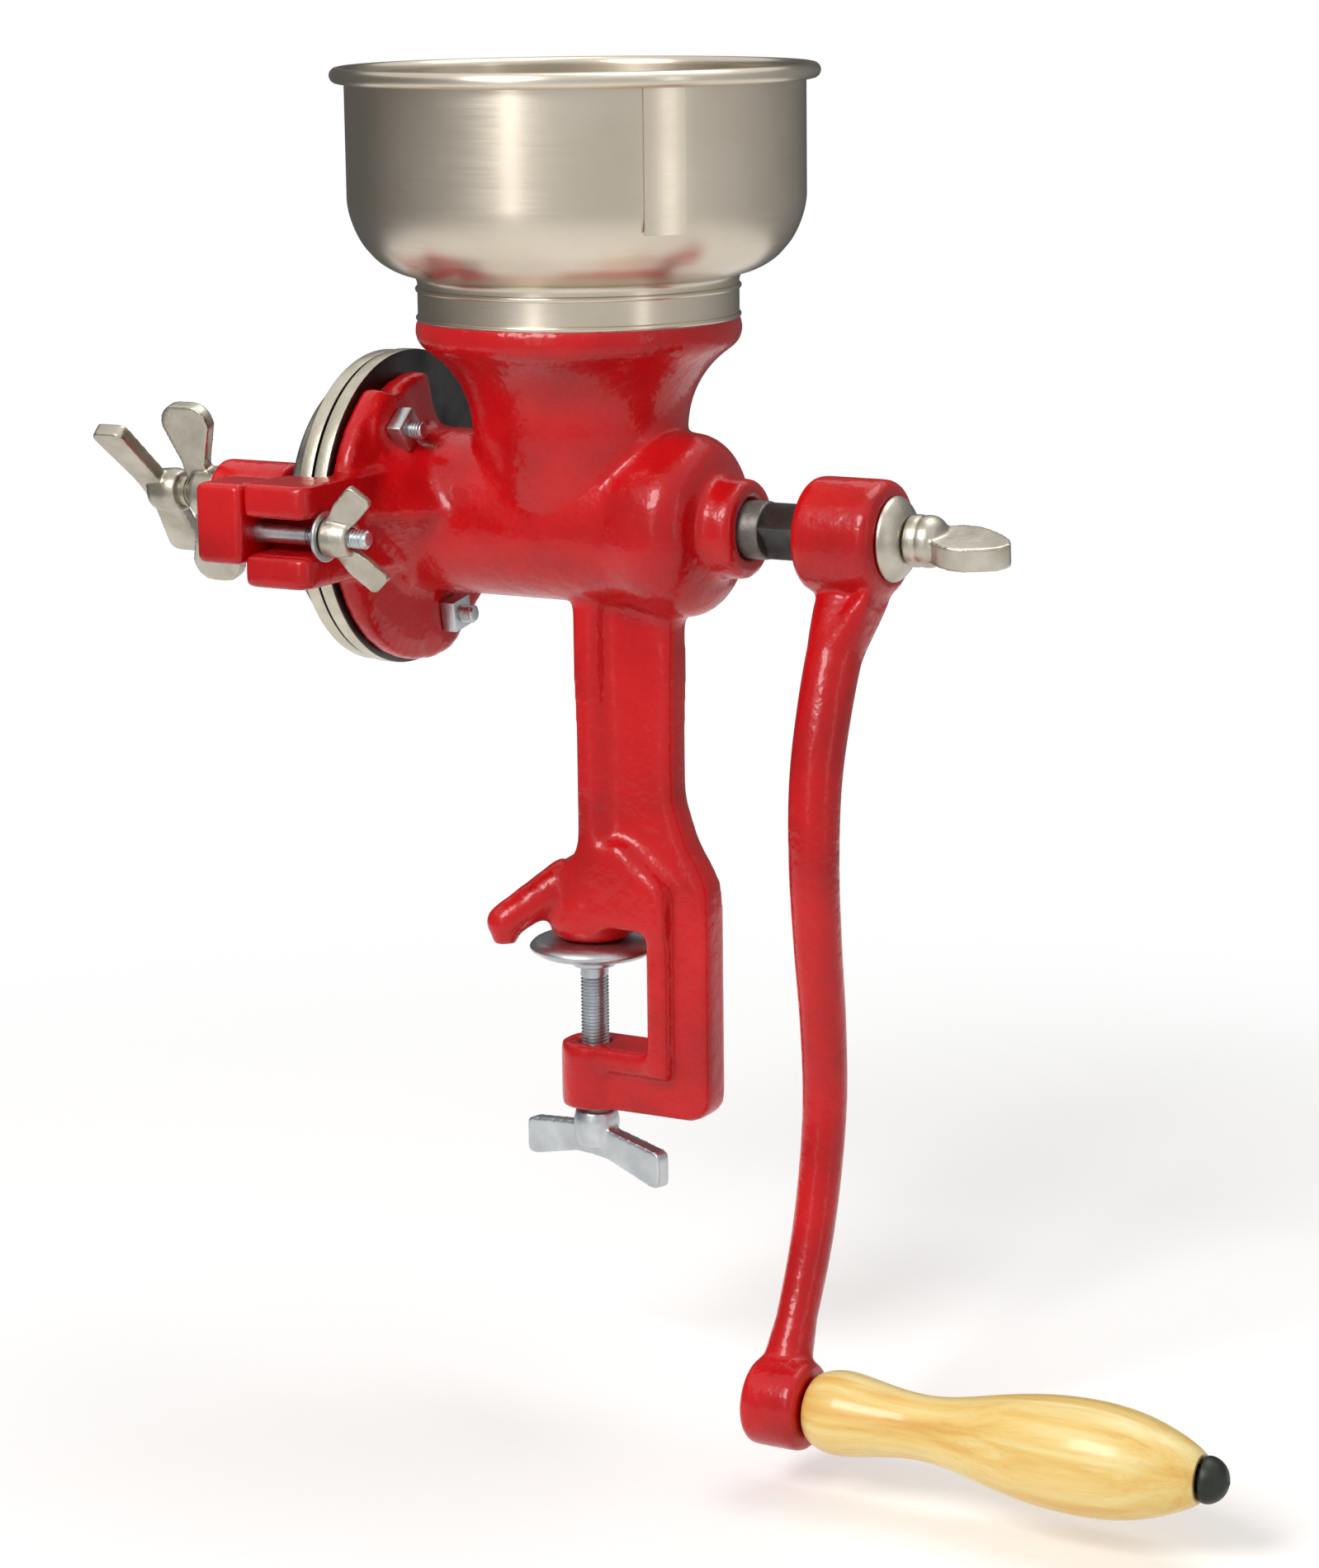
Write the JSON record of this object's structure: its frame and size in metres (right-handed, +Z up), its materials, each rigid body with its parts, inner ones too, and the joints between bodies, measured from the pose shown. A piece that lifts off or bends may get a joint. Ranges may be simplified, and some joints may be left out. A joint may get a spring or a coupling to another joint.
{
  "type": "hand corn grinder",
  "caption": "Table-clamped hand corn grinder: cast body with a round sheet hopper, grinding plates under an adjustable bridge, and a long S-shaped crank with a wooden handle.",
  "frame": {"origin": "on the clamp screw's axis, in the plane of the table top that the jaw's feet and anvil rest on", "axes": "+X along the grinding shaft towards the crank, +Y to the side away from the viewer in the picture, +Z up"},
  "size_m": [0.4113, 0.156, 0.4157],
  "materials": {
    "red_enamel": "glossy red enamel over an uneven casting",
    "tinned_sheet": "tinned sheet with a soft sheen",
    "tinned_iron": "tinned rim and ground face",
    "bare_iron": "bare casting",
    "dark_steel": "oiled steel",
    "nickel_steel": "dull nickel plate",
    "zinc_steel": "zinc plate",
    "black_steel": "blacked steel",
    "varnished_wood": "varnished pale wood"
  },
  "bodies": {
    "mill": {"mill_body": "red_enamel", "stationary_plate": "tinned_iron", "stationary_plate_bolts": "zinc_steel", "stationary_plate_nuts": "zinc_steel", "bridge": "red_enamel", "bridge_bolts": "zinc_steel"},
    "rotor": {"worm_shaft": "dark_steel", "rotating_plate": "tinned_iron", "plate_carrier": "bare_iron", "carrier_screws": "zinc_steel", "carrier_nuts": "zinc_steel", "crank_arm": "red_enamel", "handle_spindle": "black_steel"},
    "grip": {"handle_grip": "varnished_wood"},
    "crank_washer": {"crank_washer": "nickel_steel"},
    "crank_bolt": {"crank_bolt": "nickel_steel"},
    "thrust": {"thrust_ball": "zinc_steel"},
    "adjuster": {"adjusting_screw": "nickel_steel"},
    "lock_nut": {"lock_wing_nut": "nickel_steel"},
    "washer_near": {"bridge_washer_near": "zinc_steel"},
    "wing_nut_near": {"wing_nut_near": "nickel_steel"},
    "washer_far": {"bridge_washer_far": "zinc_steel"},
    "wing_nut_far": {"wing_nut_far": "nickel_steel"},
    "hopper": {"hopper": "tinned_sheet"},
    "pad": {"clamp_pad": "zinc_steel"},
    "clamp_screw": {"clamp_screw": "zinc_steel"}
  },
  "joints": [
    {"name": "crank_turn", "type": "hinge", "parent": "mill", "child": "rotor", "pos_m": [0, 0, 0.134], "axis": [1, 0, 0], "continuous": true},
    {"name": "handle_spin", "type": "hinge", "parent": "rotor", "child": "grip", "pos_m": [0.166, -0.04793, -0.1246], "axis": [1, 0, 0], "continuous": true},
    {"name": "crank_washer_slide", "type": "slide", "parent": "rotor", "child": "crank_washer", "axis": [1, 0, 0], "range_m": [0, 0.0101]},
    {"name": "crank_bolt_turn", "type": "hinge", "parent": "crank_washer", "child": "crank_bolt", "pos_m": [0.11, 0, 0.134], "axis": [1, 0, 0], "range_deg": [0, 2880]},
    {"name": "thrust_slide", "type": "slide", "parent": "mill", "child": "thrust", "axis": [-1, 0, 0], "range_m": [0, 0.0081]},
    {"name": "adjust_turn", "type": "hinge", "parent": "thrust", "child": "adjuster", "pos_m": [-0.15, 0, 0.134], "axis": [-1, 0, 0], "range_deg": [0, 1920]},
    {"name": "lock_turn", "type": "hinge", "parent": "mill", "child": "lock_nut", "pos_m": [-0.142, 0, 0.134], "axis": [-1, 0, 0], "range_deg": [0, 120]},
    {"name": "hopper_lift", "type": "slide", "parent": "mill", "child": "hopper", "axis": [0, 0, 1], "range_m": [0, 0.05]},
    {"name": "clamp_slide", "type": "slide", "parent": "mill", "child": "pad", "axis": [0, 0, -1], "range_m": [0, 0.0221]},
    {"name": "clamp_turn", "type": "hinge", "parent": "pad", "child": "clamp_screw", "pos_m": [0, 0, -0.04], "axis": [0, 0, -1], "range_deg": [0, 5280]},
    {"name": "washer_slide_near", "type": "slide", "parent": "mill", "child": "washer_near", "axis": [1, 0, 0], "range_m": [0, 0.0051]},
    {"name": "wing_nut_turn_near", "type": "hinge", "parent": "washer_near", "child": "wing_nut_near", "pos_m": [-0.051, -0.068, 0.134], "axis": [1, 0, 0], "range_deg": [0, 1440]},
    {"name": "washer_slide_far", "type": "slide", "parent": "mill", "child": "washer_far", "axis": [1, 0, 0], "range_m": [0, 0.0051]},
    {"name": "wing_nut_turn_far", "type": "hinge", "parent": "washer_far", "child": "wing_nut_far", "pos_m": [-0.051, 0.068, 0.134], "axis": [1, 0, 0], "range_deg": [0, 1440]}
  ],
  "couplings": [
    {"joint": "crank_washer_slide", "follows": "crank_bolt_turn", "m_per_rad": 0.00019894},
    {"joint": "thrust_slide", "follows": "adjust_turn", "m_per_rad": 0.00023873},
    {"joint": "clamp_slide", "follows": "clamp_turn", "m_per_rad": 0.00023873},
    {"joint": "washer_slide_near", "follows": "wing_nut_turn_near", "m_per_rad": 0.00020213},
    {"joint": "washer_slide_far", "follows": "wing_nut_turn_far", "m_per_rad": 0.00020213}
  ]
}
